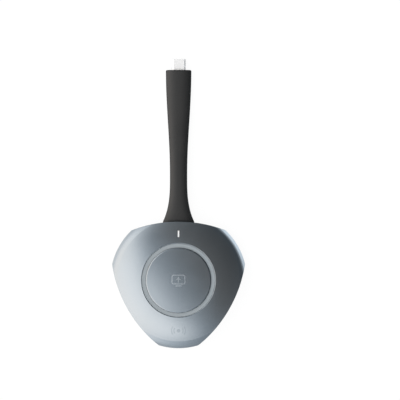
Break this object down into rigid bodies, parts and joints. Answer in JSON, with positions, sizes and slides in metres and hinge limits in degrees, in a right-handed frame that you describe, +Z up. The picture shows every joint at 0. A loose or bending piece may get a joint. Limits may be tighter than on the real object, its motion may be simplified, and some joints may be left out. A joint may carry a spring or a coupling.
{
  "type": "wireless display dongle",
  "caption": "Domed three-sided puck with a large press disc, light ring and status light, on a flat tapered tail that ends in a reversible plug.",
  "frame": {"origin": "on the press disc's axis, at the underside of the foot pad", "axes": "+Z up out of the disc, +Y along the tail towards the plug, +X to the right seen from above"},
  "size_m": [0.0796, 0.1734, 0.0143],
  "materials": {
    "satin_lacquer": "satin metallic lacquer over moulded plastic",
    "black_plastic": "fine matt moulded plastic",
    "soft_black": "matt soft-touch elastomer",
    "foot_rubber": "matt rubber",
    "ring_diffuser": "frosted translucent plastic",
    "white_diffuser": "milky light guide",
    "board_laminate": "solder-masked glass laminate",
    "chip_resin": "moulded chip resin",
    "ferrite": "sintered ferrite",
    "ceramic": "fired ceramic with tinned ends",
    "led_white": "clear resin over white base",
    "tinned_sheet": "tinned sheet steel",
    "screw_steel": "zinc-plated steel",
    "spring_bronze": "gold-plated spring bronze",
    "spreader_metal": "rolled aluminium",
    "pad_silicone": "soft silicone gap pad",
    "plug_metal": "bright nickel-plated steel",
    "plug_lining": "black liquid-crystal polymer",
    "connector_nylon": "natural nylon",
    "wire_sleeve": "coloured wire insulation",
    "cable_sleeve": "inner cable jacket",
    "switch_cap": "switch plunger resin"
  },
  "bodies": {
    "housing": {"front_cover": "satin_lacquer", "rear_cover": "black_plastic", "foot_pad": "foot_rubber", "light_ring": "ring_diffuser", "button_frame": "black_plastic", "frame_screws": "screw_steel", "status_light_pipe": "white_diffuser", "status_led": "led_white", "ring_leds": "led_white", "main_board": "board_laminate", "switch_base": "tinned_sheet", "processor_shield": "tinned_sheet", "radio_shield": "tinned_sheet", "processor_chip": "chip_resin", "memory_chip": "chip_resin", "radio_chip": "chip_resin", "flash_chip": "chip_resin", "crystal": "tinned_sheet", "power_inductors": "ferrite", "capacitors": "ceramic", "antenna_left": "spring_bronze", "antenna_right": "spring_bronze", "heat_spreader": "spreader_metal", "thermal_pad": "pad_silicone", "board_screws": "screw_steel", "housing_screws": "screw_steel", "strap_jacket": "soft_black", "cable_core": "cable_sleeve", "strap_clamp": "tinned_sheet", "clamp_screws": "screw_steel", "wire_harness": "wire_sleeve", "wire_plug": "connector_nylon", "board_header": "connector_nylon", "plug_shell": "plug_metal", "plug_insulator": "plug_lining", "plug_contacts": "spring_bronze", "plug_board": "board_laminate"},
    "button": {"button_cap": "satin_lacquer", "button_carrier": "black_plastic", "switch_plunger": "switch_cap"}
  },
  "joints": [
    {"name": "button_press", "type": "slide", "parent": "housing", "child": "button", "axis": [0, 0, -1], "range_m": [0, 0.0005], "stiffness_N_per_m": 4000, "springref_m": -0.0001}
  ]
}
